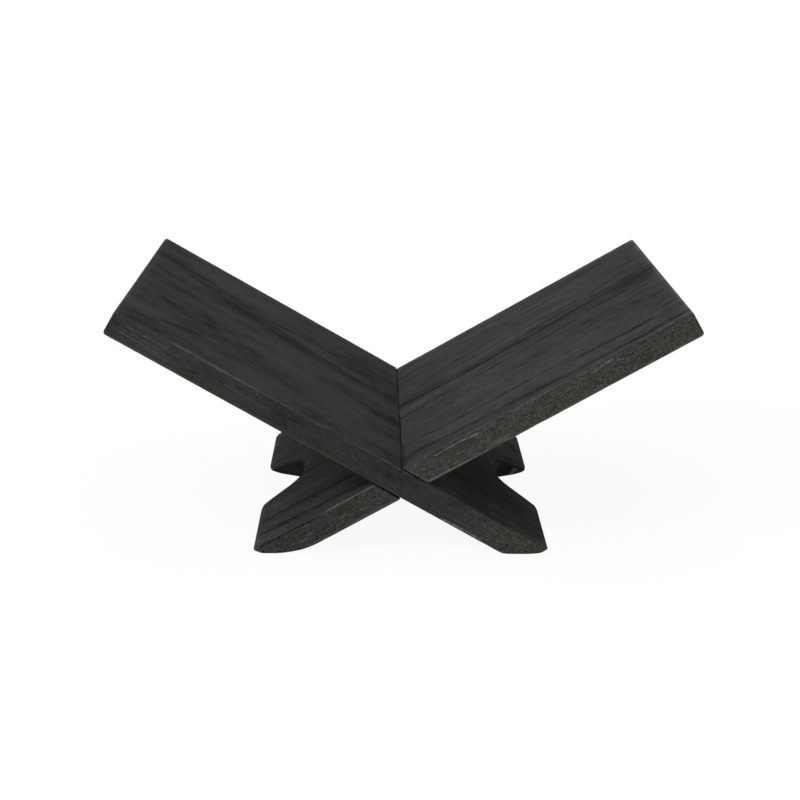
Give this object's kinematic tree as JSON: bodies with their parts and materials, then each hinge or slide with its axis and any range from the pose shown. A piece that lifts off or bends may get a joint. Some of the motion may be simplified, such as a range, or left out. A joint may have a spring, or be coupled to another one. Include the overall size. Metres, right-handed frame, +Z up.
{
  "type": "book stand",
  "caption": "Wooden book stand whose boards slot together as an X: the upper halves hold an open book, the lower ones end in level feet parted by an arch.",
  "frame": {"origin": "on the table, under the middle of the crossing, at the middle of the overall box", "axes": "+X across the open book, towards the right panel; +Y from the reader's edge to the far edge; +Z up"},
  "size_m": [0.3758, 0.25, 0.1613],
  "materials": {
    "black_stained_wood": "black stain, matt, open grain"
  },
  "bodies": {
    "left_board": {"left_board": "black_stained_wood"},
    "right_board": {"right_board": "black_stained_wood"}
  },
  "joints": [
    {"name": "slide_apart", "type": "slide", "parent": "left_board", "child": "right_board", "axis": [0, 1, 0], "range_m": [0, 0.125]}
  ]
}
